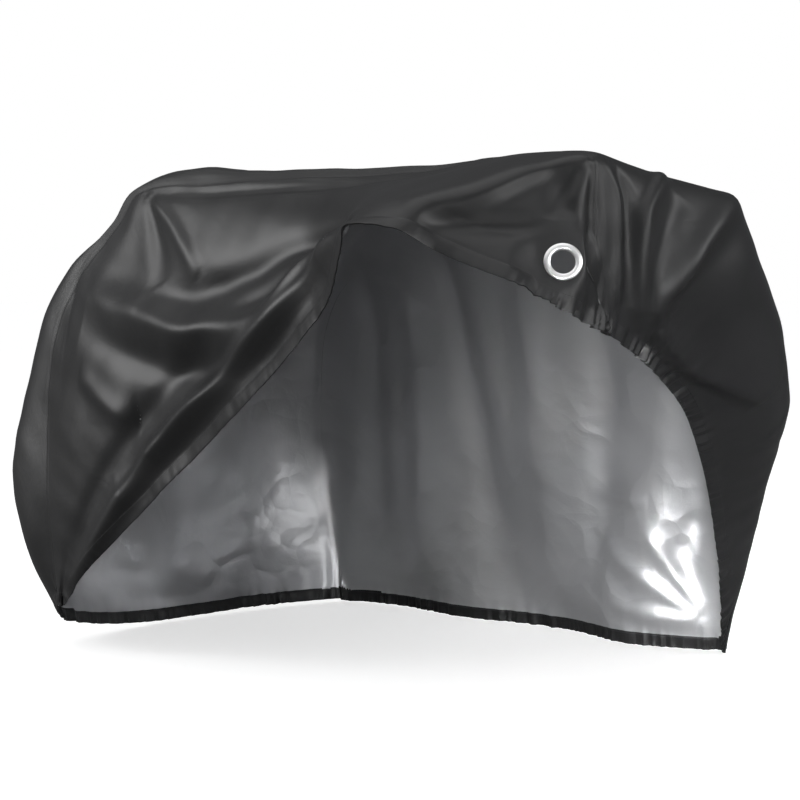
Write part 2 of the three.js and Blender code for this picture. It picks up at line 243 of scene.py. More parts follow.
# The lines in order across the cover, each with its column: the near hem is column 0, the seams
# are columns 12 and 21, and the far hem is column 27.
NEAR_SEAM_COLUMN = 12
FAR_SEAM_COLUMN = 21
FAR_HEM_COLUMN = 27
LINES = [
    (0, NEAR_HEM), (6.6, NEAR_MIDDLE), (NEAR_SEAM_COLUMN, NEAR_SEAM), (13.98, NEAR_SHOULDER),
    (16.5, TOP_MIDDLE), (19.02, FAR_SHOULDER), (FAR_SEAM_COLUMN, FAR_SEAM), (24, FAR_MIDDLE),
    (FAR_HEM_COLUMN, FAR_HEM),
]

# Folds: how far each stands out (or in, below zero), its half width at its start and end, how
# crisp its crest is (2 is soft, 1 is a crease), how much steeper it is to the left of its path
# than to the right, as seen from outside, and the path that it follows over the cloth.
FOLDS = [
    # the long roll beside the lifted hem, with a trough on both sides
    (26, 17, 22, 1.6, 0.2, [
        [-201, -12, 146], [-50, -53, 287], [131, -96, 445], [317, -135, 565], [533, -177, 687],
        [713, -221, 812], [778, -262, 852],
    ]),
    (-5, 15, 20, 1.8, 0, [
        [-165, -18, 150], [46, -67, 330], [251, -107, 478], [442, -148, 597], [670, -216, 722],
    ]),
    (-10, 20, 26, 1.8, 0, [
        [-190, -22, 205], [-60, -58, 360], [100, -95, 500], [290, -130, 625], [490, -165, 728],
        [690, -212, 836],
    ]),
    # swags that hang from the hooked-up hem, trough and roll by turns
    (-19, 9, 34, 1.6, 0, [
        [787, -284, 852], [702, -198, 834], [550, -131, 808], [430, -126, 766], [262, -125, 731],
        [120, -100, 736],
    ]),
    (36, 14, 62, 1.4, -0.45, [
        [775, -272, 838], [627, -178, 793], [487, -171, 698], [295, -125, 669], [157, -105, 688],
        [-10, -69, 714], [-145, -40, 735],
    ]),
    (-16, 20, 40, 1.8, 0.1, [
        [690, -225, 780], [610, -194, 724], [475, -159, 635], [288, -118, 593], [106, -92, 613],
        [-86, -55, 671],
    ]),
    (5, 30, 44, 1.9, -0.2, [
        [480, -155, 600], [300, -128, 546], [120, -98, 556], [-60, -62, 606], [-180, -38, 640],
    ]),
    (13, 18, 30, 1.6, -0.3, [[-103, -67, 574], [-15, -79, 529], [40, -85, 505], [80, -89, 502]]),
    (-8, 18, 26, 1.8, 0, [[120, -90, 430], [60, -78, 400], [10, -66, 360]]),
    # the fold just under the near seam
    (-8, 9, 10, 1.8, 0, [[60, -56, 914], [200, -64, 916], [440, -66, 918], [690, -62, 916], [900, -40, 926]]),
    # the creases that fan out from the corner over the nearer saddle
    (8, 16, 56, 1.6, 0, [[64, -50, 922], [10, -66, 830], [-70, -62, 748]]),
    (-11, 9, 34, 1.7, 0, [[92, -58, 916], [132, -88, 830], [165, -105, 752]]),
    (11, 8, 16, 1.4, 0.2, [[78, -58, 924], [169, -89, 877], [226, -105, 830], [285, -112, 768]]),
    # pulled tight from the lifted hem to the far end of the nearer handlebar
    (12, 10, 26, 1.5, 0.3, [[1052, -10, 946], [995, -57, 926], [940, -145, 892], [849, -222, 870]]),
    (-11, 12, 18, 1.6, 0, [[880, -215, 848], [942, -166, 843], [1008, -118, 838], [1044, -84, 832]]),
    (-7, 9, 20, 1.7, 0, [[1052, -12, 938], [1036, -57, 890], [1046, -75, 852]]),
    # cloth bunched under that end, hanging in upright folds
    (-14, 7, 12, 1.5, 0, [
        [1058, -7, 938], [1062, -14, 896], [1066, -18, 849], [1074, -28, 790], [1080, -34, 735],
    ]),
    (10, 6, 9, 1.5, 0, [[1062, 12, 942], [1074, 30, 888], [1080, 29, 819], [1077, 34, 750], [1074, 42, 715]]),
    (-12, 7, 11, 1.5, 0, [
        [1070, 34, 934], [1082, 50, 890], [1090, 50, 840], [1090, 50, 790], [1080, 62, 715],
    ]),
    (17, 10, 16, 1.4, -0.3, [
        [1080, 160, 930], [1086, 138, 914], [1094, 83, 867], [1098, 69, 804], [1084, 88, 725],
        [1064, 128, 668],
    ]),
    (-9, 14, 17, 1.6, 0, [[1112, 165, 890], [1110, 128, 840], [1102, 108, 780], [1090, 108, 715]]),
    # folds that run from the outer handlebar back to the gathered hem
    (21, 22, 17, 1.5, 0.1, [
        [1122, 312, 900], [1130, 256, 866], [1135, 187, 813], [1107, 126, 739], [1088, 133, 702],
        [1072, 165, 662],
    ]),
    (24, 14, 40, 1.4, -0.35, [
        [1081, 142, 684], [1075, 169, 662], [1076, 226, 633], [1079, 287, 603], [1100, 379, 570],
        [1110, 440, 552],
    ]),
    (-20, 18, 56, 1.7, 0, [
        [1058, 172, 612], [1068, 245, 576], [1082, 310, 548], [1104, 400, 510], [1118, 500, 480],
    ]),
    # drawn up from the corner where the front and the far side meet
    (-9, 10, 24, 1.3, 0, [[742, 842, 70], [640, 805, 140], [532, 793, 214]]),
    (-8, 9, 24, 1.3, 0, [[746, 842, 84], [690, 820, 170], [621, 793, 280]]),
    (-9, 9, 20, 1.4, 0, [[738, 842, 64], [650, 815, 68], [540, 800, 84]]),
    (-7, 12, 14, 1.4, 0, [[500, 780, 318], [580, 786, 312], [650, 796, 306]]),
    # the top, drawn tight from each saddle to the handlebars and slack between
    (16, 26, 40, 1.8, 0, [[230, 30, 960], [430, 130, 920], [615, 230, 905]]),
    (12, 30, 28, 1.8, 0, [[640, 235, 902], [860, 290, 900], [1105, 300, 893]]),
    (14, 26, 32, 1.8, 0, [[200, 590, 965], [500, 510, 915], [985, 445, 875]]),
    (-16, 60, 50, 2.0, 0, [[220, 300, 895], [540, 390, 895], [840, 380, 895]]),
    # the rear, slack between the two wheels
    (-22, 40, 70, 2.0, 0, [[-150, 330, 825], [-330, 340, 640], [-402, 335, 330], [-370, 310, 110]]),
    (14, 40, 56, 1.8, 0, [[-110, 490, 850], [-340, 480, 560], [-392, 470, 300], [-345, 450, 60]]),
    (12, 40, 56, 1.8, 0, [[-130, 170, 840], [-355, 170, 560], [-410, 160, 300], [-350, 180, 60]]),
    # folds that fall down the far side
    (16, 26, 50, 1.8, 0, [[-60, 715, 800], [-110, 785, 420], [-140, 840, 60]]),
    (-14, 30, 50, 1.8, 0, [[60, 700, 840], [50, 775, 450], [10, 840, 60]]),
    (20, 26, 54, 1.8, 0, [[170, 692, 850], [210, 770, 470], [240, 840, 60]]),
    (-16, 36, 60, 1.8, 0, [[400, 680, 835], [390, 768, 455], [370, 850, 60]]),
    (18, 28, 56, 1.8, 0, [[600, 655, 818], [560, 765, 460], [500, 825, 80]]),
    (-14, 28, 50, 1.8, 0, [[760, 648, 800], [690, 775, 430], [610, 820, 60]]),
    (18, 24, 48, 1.8, 0, [[895, 636, 770], [790, 790, 400], [700, 840, 70]]),
]
FOLD_ENDS = 0.6  # how bluntly a fold rises at its two ends; lower is blunter
FOLD_STEPS = 8  # points on a fold's path from one given point to the next
CREST_ROUND = 5  # no crest is sharper than this

# Gathers: width of one gather, how far in it fades, and how far it stands out
GATHERS = [(15, 22, 2.6), (29, 38, 4.4), (58, 80, 3.6)]
GATHERED_FROM = 82  # station where the lifted hem, stretched up to there, starts to gather
GATHERED_OVER = 6
TIGHT_GATHER = 1.3  # how strong the gathers are in front of the nearer handlebar
TAUT_GATHER = 0.12  # what is left of them on the stretched part
FRONT_GATHER = 0.45  # and on the lower front hem, which hangs with little pull
FAR_GATHER = 0.45  # at the far side's front corner and the near side's rear corner
REAR_GATHER = 0.7  # at the far side's rear corner
CORNER_GATHER = 0.35  # along the near side's hem at its rear corner
CORNER_STATION = 7  # as far as this station
CORNER_FADE = 5
TIGHT_COLUMNS = 16  # the front hem is tight as far as this column
SLACKENED_OVER = 4
GATHER_DRIFT = 1.9  # how unevenly the gathers are spaced
GATHER_ROUND = 0.85  # lower makes rounder crests and sharper valleys
GATHER_DROP = 1.1  # how far the valleys lie under the bare cloth
GATHER_FADE = 1.4
CRISP_GATHERS = 20  # this near the hem they keep their edges
EVENED_OVER = 18
RIM_STEP = 2.5  # between the points that the hem is followed by
RIM_SAMPLES = 1500  # on each of its four sides, before they are spaced out evenly

# Hem and seams
HEM_WIDTH = 25  # of the cloth turned in over the elastic
HEM_SWELL = 0.8  # how far the elastic swells it to each side
HEM_EDGE = 3  # the turned-in cloth thins out over this width
STITCH_WIDTH = 1.8  # of the dip along a stitch line
STITCH_SHARE = 0.7  # of the swell, for its depth
SEAM_LAP = 9  # the gusset goes this far under the side panels
SEAM_STEP = 1.3  # and lies this far lower there
SEAM_FADE = 11  # rising back over this width
SEAM_SWELL = 0.35  # how far the lapped edge stands out
SEAM_UNSTITCHED = 20  # the gusset shows no stitch line of its own
PAST_SEAM = 4  # a side panel's points are worked out this far beyond its seam

# Mesh: steps out from a hem, where the cloth is finest, and steps across each panel
HEM_STEPS = [0, 1.5, 4, 8, 12, 16, 20, 23, 25, 27.5, 32, 38, 46, 56, 68]
SEAM_STEPS = [-9, -6, -3, 0, 1.5, 4, 8, 13]
SIDE_ROWS = 330
NEAR_STEPS = 104
FAR_STEPS = 112
SIDE_SAMPLES = 300  # across a side panel and on into the gusset, to measure its lengths by
SEAM_SAMPLE = 240  # the one on the seam
HEM_SHARE = 0.45  # of a narrow panel, at most, for the hem's own steps
GUSSET_ROWS = 225
GUSSET_STEPS = 150
GATHERED_ROWS = 20  # beyond the front hem that are also at half the step
GUSSET_STATIONS = 300  # along and across the gusset, to measure its lengths by
GUSSET_SAMPLES = 500
GUSSET_REACH = (3, 25)  # columns that surely hold the gusset and its laps
FRONT_FROM = 76  # station
FRONT_DENSITY = 2.6  # how much closer together the rows are from there on
NEAR_BIAS = 1.6  # above 1 the gusset's points are closer together towards the near seam

# Slack: length of a swell and its height, how many directions each runs in, and how much and
# over what length they are bent
SLACK = [(340, 3.0), (150, 1.1), (70, 0.35)]
SLACK_WAYS = 6
SLACK_WARP = 26
SLACK_TURN = 71


def line_at(points, place):
    """Where a smooth line through points at uneven stations is, at each station in place."""
    table = np.asarray(points, float)
    knots, values = table[:, 0], table[:, 1:]
    before, after = neighbours(len(knots))
    slopes = (values[after] - values[before]) / (knots[after] - knots[before])[:, None]
    k = np.clip(np.searchsorted(knots, place) - 1, 0, len(knots) - 2)
    step = (knots[k + 1] - knots[k])[..., None]
    u = (place - knots[k])[..., None] / step
    return hermite(values[k], values[k + 1], slopes[k] * step, slopes[k + 1] * step, u)


def neighbours(count):
    """Index of the point before and after each of so many points, held at the ends."""
    places = np.arange(count)
    return np.maximum(places - 1, 0), np.minimum(places + 1, count - 1)


def hermite(a, b, slope_a, slope_b, u):
    rise = a * (1 + 2 * u) * (1 - u) ** 2 + b * u * u * (3 - 2 * u)
    return rise + slope_a * u * (1 - u) ** 2 - slope_b * u * u * (1 - u)


def bare_cloth(stations, columns):
    """The cloth before its folds: a point for each station and column."""
    knots = np.array([column for column, _ in LINES], float)
    lines = np.stack([line_at(line, stations) - FOOT for _, line in LINES])
    before, after = neighbours(len(knots))
    gaps = (knots[after] - knots[before])[:, None, None, None]
    slopes = (lines[after] - lines[before]) / gaps
    k = np.clip(np.searchsorted(knots, columns) - 1, 0, len(knots) - 2)
    step = (knots[k + 1] - knots[k])[..., None]
    u = (columns - knots[k])[..., None] / step
    here, ahead = (np.take_along_axis(lines, line[None, ..., None], 0)[0] for line in (k, k + 1))
    leaving, reaching = (np.take_along_axis(slopes, line[None, ..., None], 0)[0] for line in (k, k + 1))
    return hermite(here, ahead, leaving * step, reaching * step, u)


def outwards(points):
    """Directions out of the cloth, from each point's neighbours in the grid."""
    normals = np.cross(np.gradient(points, axis=0), np.gradient(points, axis=1))
    return normals / np.linalg.norm(normals, axis=-1, keepdims=True)


def fold_heights(points, normals):
    """How far the folds push each point out of the bare cloth."""
    flat, facing = points.reshape(-1, 3), normals.reshape(-1, 3)
    heights = np.zeros(len(flat))
    for out, half_start, half_end, crisp, lean, places in FOLDS:
        table = [[k, *place] for k, place in enumerate(places)]
        last = len(places) - 1
        path = line_at(table, np.linspace(0, last, last * FOLD_STEPS + 1)) - FOOT
        reach = 3 * max(half_start, half_end)
        close = np.all((flat > path.min(0) - reach) & (flat < path.max(0) + reach), axis=1)
        distance, along, left = nearest_on(path, flat[close], facing[close])
        half = half_start + (half_end - half_start) * along
        half *= 1 - lean * np.tanh(left / half)
        ends = np.sin(np.pi * along) ** FOLD_ENDS
        distance = np.hypot(distance, CREST_ROUND) - CREST_ROUND
        heights[close] += out * ends * np.exp(-(distance / half) ** crisp)
    return heights.reshape(points.shape[:-1])


def nearest_on(path, points, facing):
    """Each point's distance from a path, the share of the path where it is nearest, and how far
    it is to the path's left as seen from outside."""
    start, run = path[:-1], np.diff(path, axis=0)
    off = points[:, None, :] - start
    share = np.clip((off * run).sum(-1) / (run * run).sum(-1), 0, 1)
    distance = np.linalg.norm(off - share[..., None] * run, axis=-1)
    best = distance.argmin(1)
    rows = np.arange(len(points))
    ahead = run[best] / np.linalg.norm(run[best], axis=1)[:, None]
    left = (off[rows, best] * np.cross(facing, ahead)).sum(1)
    return distance[rows, best], (best + share[rows, best]) / len(run), left


def wander(along, length, seed):
    """A smooth random curve, about -1 to 1, that turns over in about that length."""
    draw = np.random.default_rng(seed)
    total = np.zeros_like(along)
    for pitch in (1.0, 0.61, 0.37):
        total += np.sin(2 * np.pi * along * pitch / length * draw.uniform(0.7, 1.4) + draw.uniform(0, 7))
    return total / 2.2


def gather_heights(along, from_hem, strength):
    """Puckers across the hem: round crests, sharp valleys, each width fading on its own depth."""
    heights = np.zeros_like(along)
    for k, (width, depth, out) in enumerate(GATHERS):
        phase = np.pi * along / width + GATHER_DRIFT * wander(along, 4 * width, SEED + k)
        crest = 2 * np.abs(np.sin(phase)) ** GATHER_ROUND - GATHER_DROP
        size = 0.75 + 0.45 * wander(along, 5 * width, SEED + 10 + k)
        reach = depth * (0.75 + 0.35 * size) * (0.5 + 0.5 * strength)
        heights += out * size * crest * np.exp(-(from_hem / reach) ** GATHER_FADE)
    return heights * strength


def rim_of_cover():
    """The whole hem, round the near side, up the front, the far side and the rear: its points,
    their directions, how far along it they are, and how strongly it is gathered there."""
    fine = np.linspace(0, 1, RIM_SAMPLES)
    full, none = np.full(RIM_SAMPLES, 100.0), np.zeros(RIM_SAMPLES)
    near = TIGHT_GATHER * smooth((fine * 100 - GATHERED_FROM) / GATHERED_OVER + 0.5)
    near += CORNER_GATHER * smooth((CORNER_STATION - fine * 100) / CORNER_FADE)
    slackened = smooth((fine * FAR_HEM_COLUMN - TIGHT_COLUMNS) / SLACKENED_OVER + 0.5)
    sides = [
        (fine * 100, none, np.maximum(TAUT_GATHER, near)),
        (full, fine * FAR_HEM_COLUMN, TIGHT_GATHER + (FRONT_GATHER - TIGHT_GATHER) * slackened),
        (100 - fine * 100, none + FAR_HEM_COLUMN, FAR_GATHER + (REAR_GATHER - FAR_GATHER) * fine),
        (none, (1 - fine) * FAR_HEM_COLUMN, REAR_GATHER + (FAR_GATHER - REAR_GATHER) * fine),
    ]
    stations, columns, strength = (np.concatenate(part)[None] for part in zip(*sides))
    line = bare_cloth(stations, columns)[0]
    along = arc_lengths(line[None], 1)[0]
    even = np.arange(0, along[-1], RIM_STEP)
    line = np.stack([np.interp(even, along, line[:, axis]) for axis in range(3)], axis=1)
    ways = np.gradient(line, axis=0)
    ways /= np.linalg.norm(ways, axis=1, keepdims=True)
    return line, ways, even, np.interp(even, along, strength[0])


def near_rim(points):
    """For each point, how far along the hem the nearest spot is, how far off the point is, and
    how strongly the hem is gathered there."""
    line, ways, along, strength = RIM
    flat = points.reshape(-1, 3)
    best = np.array([RIM_TREE.find(point)[1] for point in flat.tolist()])
    off = flat - line[best]
    run = (off * ways[best]).sum(1)
    distance = np.sqrt(np.maximum((off * off).sum(1) - run * run, 0))
    shape = points.shape[:2]
    return (along[best] + run).reshape(shape), distance.reshape(shape), strength[best].reshape(shape)


def tree_of(line):
    tree = kdtree.KDTree(len(line))
    for k, place in enumerate(line.tolist()):
        tree.insert(place, k)
    tree.balance()
    return tree


def arc_lengths(points, axis):
    """Length along the cloth from the first point of each line of a grid."""
    steps = np.linalg.norm(np.diff(points, axis=axis), axis=-1)
    start = np.zeros_like(np.take(steps, [0], axis=axis))
    return np.concatenate([start, np.cumsum(steps, axis=axis)], axis=axis)


def stepped(wanted, given, values):
    """For each line, the values at the wanted lengths, from the values at the given lengths."""
    return np.stack([np.interp(w, g, v) for w, g, v in zip(wanted, given, values)])


def side_grid(hem_column, seam_column, steps):
    """Stations and columns of a side panel's points: close together at the hem, then even, and
    one line past the seam, which only gives the cloth its direction there."""
    stations = np.linspace(0, 100, SIDE_ROWS + 1)
    past = seam_column + (SIDE_SAMPLES / SEAM_SAMPLE - 1) * (seam_column - hem_column)
    rows, columns = np.meshgrid(stations, np.linspace(hem_column, past, SIDE_SAMPLES + 1), indexing="ij")
    lengths = arc_lengths(bare_cloth(rows, columns), 1)
    width = lengths[:, SEAM_SAMPLE:SEAM_SAMPLE + 1]
    band = np.array(HEM_STEPS) * np.minimum(1, HEM_SHARE * width / HEM_STEPS[-1])
    share = np.linspace(0, 1, steps - len(HEM_STEPS) + 1)[1:]
    rest = band[:, -1:] + (width - band[:, -1:]) * share
    wanted = np.concatenate([band, rest, width + PAST_SEAM], axis=1)
    columns = stepped(wanted, lengths, columns)
    return np.repeat(stations[:, None], columns.shape[1], 1), columns, width - wanted


def slack_heights(points):
    """Gentle unevenness of cloth that hangs loose."""
    draw = np.random.default_rng(SEED)
    warped = points + SLACK_WARP * np.sin(points[..., [2, 0, 1]] / SLACK_TURN + draw.uniform(0, 7, 3))
    heights = np.zeros(points.shape[:-1])
    for length, out in SLACK:
        for _ in range(SLACK_WAYS):
            way = draw.normal(size=3)
            way *= 2 * np.pi / (length * np.linalg.norm(way))
            heights += out / 2 * np.sin(warped @ way + draw.uniform(0, 7))
    return heights


def swell(from_edge, width, out):
    """Height of a stuffed hem or lapped seam, with its stitch line sunk along the inner side."""
    round_part = np.sqrt(np.clip(1 - ((from_edge - width / 2) / (width / 2)) ** 2, 0, 1))
    stitched = np.exp(-((from_edge - width) / STITCH_WIDTH) ** 2)
    return out * (round_part - STITCH_SHARE * stitched)


def smooth(share):
    share = np.clip(share, 0, 1)
    return share * share * (3 - 2 * share)


# The lock eyelet's place, around which the cloth lies flat
EYELET_AT = np.array([1062, -90, 785]) - FOOT
EYELET_FACES = np.array([0.6, -0.74, 0.3]) / np.linalg.norm([0.6, -0.74, 0.3])
FLAT_AROUND = 42  # radius of the flat cloth
FLAT_FADE = 92  # radius where the folds are whole again
CLOTH_HOLE = 23.5  # radius
HOLE_DEPTH = 30  # cloth farther than this from the eyelet's plane is another part of it


def flatten_at_eyelet(points):
    off = points - EYELET_AT
    height = off @ EYELET_FACES
    far = (np.linalg.norm(off, axis=-1) - FLAT_AROUND) / (FLAT_FADE - FLAT_AROUND)
    return points - EYELET_FACES * (height * (1 - smooth(far)))[..., None]


RIM = rim_of_cover()
RIM_TREE = tree_of(RIM[0])


def soften(table):
    """A grid of values with each evened out a little with its neighbours, twice over."""
    for _ in range(2):
        table = table.copy()
        table[1:-1] = table[1:-1] / 2 + (table[:-2] + table[2:]) / 4
        table[:, 1:-1] = table[:, 1:-1] / 2 + (table[:, :-2] + table[:, 2:]) / 4
    return table


def hang(stations, columns, heights):
    """The cloth with its folds, its gathered hem and the given extra heights, its directions
    outwards, and for each point how far along the hem and how far in from it that is."""
    points = bare_cloth(stations, columns)
    normals = outwards(points)
    along, from_hem, strength = near_rim(points)
    heights = heights + fold_heights(points, normals) + slack_heights(points)
    gathers = gather_heights(along, from_hem, strength)
    gathers += (soften(soften(gathers)) - gathers) * smooth((from_hem - CRISP_GATHERS) / EVENED_OVER)
    heights += gathers + swell(from_hem, HEM_WIDTH, HEM_SWELL)
    points = flatten_at_eyelet(points + normals * heights[..., None])
    points[..., 2] = np.maximum(points[..., 2], GROUND + CLOTH)
    normals = soften(outwards(points))
    return points, normals / np.linalg.norm(normals, axis=-1, keepdims=True), along, from_hem


def hem_thickness(from_hem):
    return CLOTH + 2 * HEM_SWELL * (1 - smooth((from_hem - HEM_WIDTH + HEM_EDGE) / HEM_EDGE))


def faces_between(a, b):
    """Faces from one row of points to the next, where either row may have twice the steps."""
    if len(a) == len(b):
        return list(zip(a[:-1], b[:-1], b[1:], a[1:]))
    faces = []
    if len(b) > len(a):
        for j in range(len(a) - 1):
            left, middle, right = b[2 * j:2 * j + 3]
            faces += [(a[j], left, middle), (a[j], middle, a[j + 1]), (a[j + 1], middle, right)]
    else:
        for j in range(len(b) - 1):
            left, middle, right = a[2 * j:2 * j + 3]
            faces += [(left, b[j], middle), (middle, b[j], b[j + 1]), (middle, b[j + 1], right)]
    return faces


def cloth_object(name, points, normals, thickness, kept_columns, maps, hem_distance):
    """A closed sheet with an outer and an inner face, its edges and its hole walled."""
    used = np.zeros(points.shape[:2], int) - 1
    count = 0
    for i, kept in enumerate(kept_columns):
        used[i, kept] = np.arange(count, count + len(kept))
        count += len(kept)
    faces = []
    for i in range(len(kept_columns) - 1):
        row, following = used[i, kept_columns[i]], used[i + 1, kept_columns[i + 1]]
        faces += faces_between(row.tolist(), following.tolist())
    mask = used >= 0
    outer, off = points[mask], points[mask] - EYELET_AT
    radial = off - np.outer(off @ EYELET_FACES, EYELET_FACES)
    radius = np.linalg.norm(radial, axis=1)
    inside_hole = (radius < CLOTH_HOLE) & (np.abs(off @ EYELET_FACES) < HOLE_DEPTH)
    kept_faces = [face for face in faces if not any(inside_hole[v] for v in face)]
    if len(kept_faces) < len(faces):
        cut = {v for face in faces if any(inside_hole[v] for v in face) for v in face}
        rim = np.array(sorted(cut & {v for face in kept_faces for v in face}))
        outer[rim] += radial[rim] * (CLOTH_HOLE / radius[rim] - 1)[:, None]
    inner = outer - normals[mask] * thickness[mask][:, None]
    inner[:, 2] = np.maximum(inner[:, 2], GROUND)
    edges = {(u, v) for face in kept_faces for u, v in zip(face, face[1:] + face[:1])}
    walls = [(v, u, u + count, v + count) for u, v in sorted(edges) if (v, u) not in edges]
    backs = [tuple(v + count for v in reversed(face)) for face in kept_faces]
    mesh = bpy.data.meshes.new(name)
    mesh.from_pydata((np.concatenate([outer, inner]) * MM).tolist(), [], kept_faces + backs + walls)
    silver = [hem_distance[mask][face[0] - count] > HEM_WIDTH for face in backs]
    index = [0] * len(kept_faces) + [int(s) for s in silver] + [0] * len(walls)
    mesh.polygons.foreach_set("material_index", index)
    corner = np.empty(len(mesh.loops), int)
    mesh.loops.foreach_get("vertex_index", corner)
    for map_name, (along, across) in maps.items():
        flat = np.stack([along[mask], across[mask]], axis=1) * MM
        layer = mesh.uv_layers.new(name=map_name)
        layer.data.foreach_set("uv", flat[corner % count].ravel())
    mesh.polygons.foreach_set("use_smooth", [True] * len(mesh.polygons))
    mesh.set_sharp_from_angle(angle=SHARP_CREASE)
    drop_loose_points(mesh)
    made = bpy.data.objects.new(name, mesh)
    scene.collection.objects.link(made)
    return made


def drop_loose_points(mesh):
    """The points that the eyelet's hole leaves without a face go."""
    work = bmesh.new()
    work.from_mesh(mesh)
    bmesh.ops.delete(work, geom=[v for v in work.verts if not v.link_faces], context="VERTS")
    work.to_mesh(mesh)
    work.free()


def shader_group(name, numbers, outputs, vector=True):
    """An empty node group with a place socket, number sockets and their first values."""
    group = bpy.data.node_groups.new(name, "ShaderNodeTree")
    if vector:
        group.interface.new_socket("Place", in_out="INPUT", socket_type="NodeSocketVector")
    for socket, value in numbers.items():
        made = group.interface.new_socket(socket, in_out="INPUT", socket_type="NodeSocketFloat")
        made.default_value = value
    for socket in outputs:
        group.interface.new_socket(socket, in_out="OUTPUT", socket_type="NodeSocketFloat")
    return group, group.nodes.new("NodeGroupInput").outputs, group.nodes.new("NodeGroupOutput").inputs


def maths(tree, operation, first, second=0.0, third=0.0):
    """A maths node on numbers or sockets."""
    return node(tree, "Math", {0: first, 1: second, 2: third}, operation=operation).outputs[0]


def weave_group():
    """Plain weave: threads one way and the other, over and under by turns."""
    group, given, out = shader_group("plain_weave", {"Thread": 0.0006}, ["Height"])
    axes = node(group, "SeparateXYZ", {0: given["Place"]}).outputs
    turns = maths(group, "DIVIDE", math.pi, given["Thread"])
    warp = maths(group, "SINE", maths(group, "MULTIPLY", axes[0], turns))
    weft = maths(group, "SINE", maths(group, "MULTIPLY", axes[1], turns))
    height = maths(group, "MULTIPLY_ADD", maths(group, "MULTIPLY", warp, weft), 0.5, 0.5)
    group.links.new(height, out["Height"])
    return group


def crinkle_group():
    """Small soft creases of coated cloth, with patches where they are stronger."""
    group, given, out = shader_group("crinkle", {"Scale": 14.0, "Sharpness": 0.5}, ["Height", "Patches"])
    broad = node(group, "TexNoise", {"Vector": given["Place"], "Scale": 2.3, "Detail": 2.0})
    patches = node(group, "MapRange", {"Value": broad.outputs["Fac"], "From Min": 0.35, "From Max": 0.65})
    creases = node(
        group, "TexNoise",
        {"Vector": given["Place"], "Scale": given["Scale"], "Detail": 4.0, "Distortion": 0.9},
    )
    folded_back = maths(group, "ABSOLUTE", maths(group, "SUBTRACT", creases.outputs["Fac"], 0.5))
    sharp = maths(group, "POWER", maths(group, "MULTIPLY", folded_back, 2.0), given["Sharpness"])
    height = maths(group, "MULTIPLY", sharp, maths(group, "MULTIPLY_ADD", patches.outputs[0], 0.75, 0.25))
    group.links.new(height, out["Height"])
    group.links.new(patches.outputs[0], out["Patches"])
    return group


def crumple_group():
    """Flat facets with creases between them, as in pressed and unfolded coated cloth."""
    group, given, out = shader_group("crumple", {"Scale": 6.0, "Bend": 0.12}, ["Height"])
    bend = node(group, "TexNoise", {"Vector": given["Place"], "Scale": 5.0, "Detail": 2.0})
    push = node(group, "VectorMath", {0: bend.outputs["Color"], "Scale": given["Bend"]}, operation="SCALE")
    bent = node(group, "VectorMath", {0: given["Place"], 1: push.outputs[0]}, operation="ADD").outputs[0]
    finer = maths(group, "MULTIPLY", given["Scale"], 2.3)
    large, small = (
        node(group, "TexVoronoi", {"Vector": bent, "Scale": scale}, feature="F1").outputs["Distance"]
        for scale in (given["Scale"], finer)
    )
    group.links.new(maths(group, "MULTIPLY_ADD", small, 0.4, large), out["Height"])
    return group


def stitch_group():
    """A row of thread stitches beside an edge: Place is along the edge and out from it."""
    numbers = {"From Edge": 0.0235, "Length": 0.0034, "Thread": 0.0005}
    group, given, out = shader_group("stitches", numbers, ["Mask", "Sunk"])
    axes = node(group, "SeparateXYZ", {0: given["Place"]}).outputs
    aside = maths(group, "ABSOLUTE", maths(group, "SUBTRACT", axes[1], given["From Edge"]))
    over = maths(group, "DIVIDE", aside, given["Thread"])
    edges = {"From Min": 0.7, "From Max": 1.1, "To Min": 1.0, "To Max": 0.0}
    wide = node(group, "MapRange", {"Value": over, **edges})
    beat = maths(group, "FRACT", maths(group, "DIVIDE", axes[0], given["Length"]))
    long = maths(group, "LESS_THAN", beat, 0.78)
    group.links.new(maths(group, "MULTIPLY", wide.outputs[0], long), out["Mask"])
    group.links.new(maths(group, "SUBTRACT", 1.0, maths(group, "MULTIPLY", over, 0.3)), out["Sunk"])
    return group


WEAVE = weave_group()
CRINKLE = crinkle_group()
CRUMPLE = crumple_group()
STITCHES = stitch_group()


def effect(tree, group, inputs):
    """One of the shared effects placed in a material, with this material's own values."""
    made = tree.nodes.new("ShaderNodeGroup")
    made.node_tree = group
    fill_sockets(tree, made, inputs)
    return made.outputs


def bump(tree, height, distance, strength, normal=None):
    inputs = {"Height": height, "Distance": distance, "Strength": strength}
    if normal:
        inputs["Normal"] = normal
    return node(tree, "Bump", inputs).outputs[0]


BLACK = (0.0125, 0.0126, 0.0132, 1)
BLACK_WORN = (0.0165, 0.0167, 0.0173, 1)
THREAD_BLACK = (0.02, 0.02, 0.021, 1)
SILVER = (0.60, 0.605, 0.62, 1)
SILVER_DULL = (0.46, 0.465, 0.48, 1)


